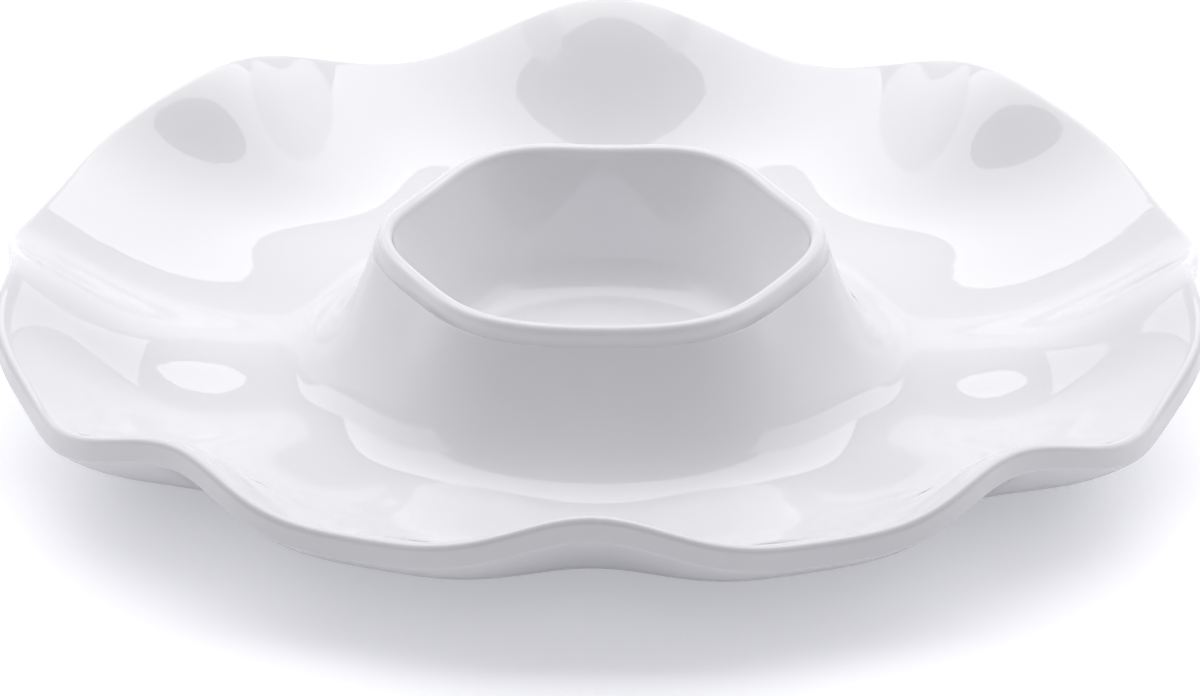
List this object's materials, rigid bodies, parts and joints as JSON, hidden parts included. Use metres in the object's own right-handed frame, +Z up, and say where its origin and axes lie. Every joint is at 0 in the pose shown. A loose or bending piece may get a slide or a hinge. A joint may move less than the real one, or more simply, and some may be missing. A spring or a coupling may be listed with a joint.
{
  "type": "chip and dip server",
  "caption": "Ruffled round serving tray with a raised central dip bowl and a low foot ring, for chips round the channel and dip in the middle.",
  "frame": {"origin": "centre of the footprint, on the surface that the server stands on", "axes": "+Z up, -Y towards the front of the server, +X to the right"},
  "size_m": [0.3802, 0.3716, 0.0543],
  "materials": {
    "glaze": "high-gloss white moulding, faint mould waviness",
    "bowl_glaze": "high-gloss white moulding, faint mould waviness",
    "foot": "satin white, lightly rubbed on the standing face"
  },
  "bodies": {
    "root": {"tray": "glaze", "dip_bowl": "bowl_glaze", "foot_ring": "foot"}
  },
  "joints": []
}
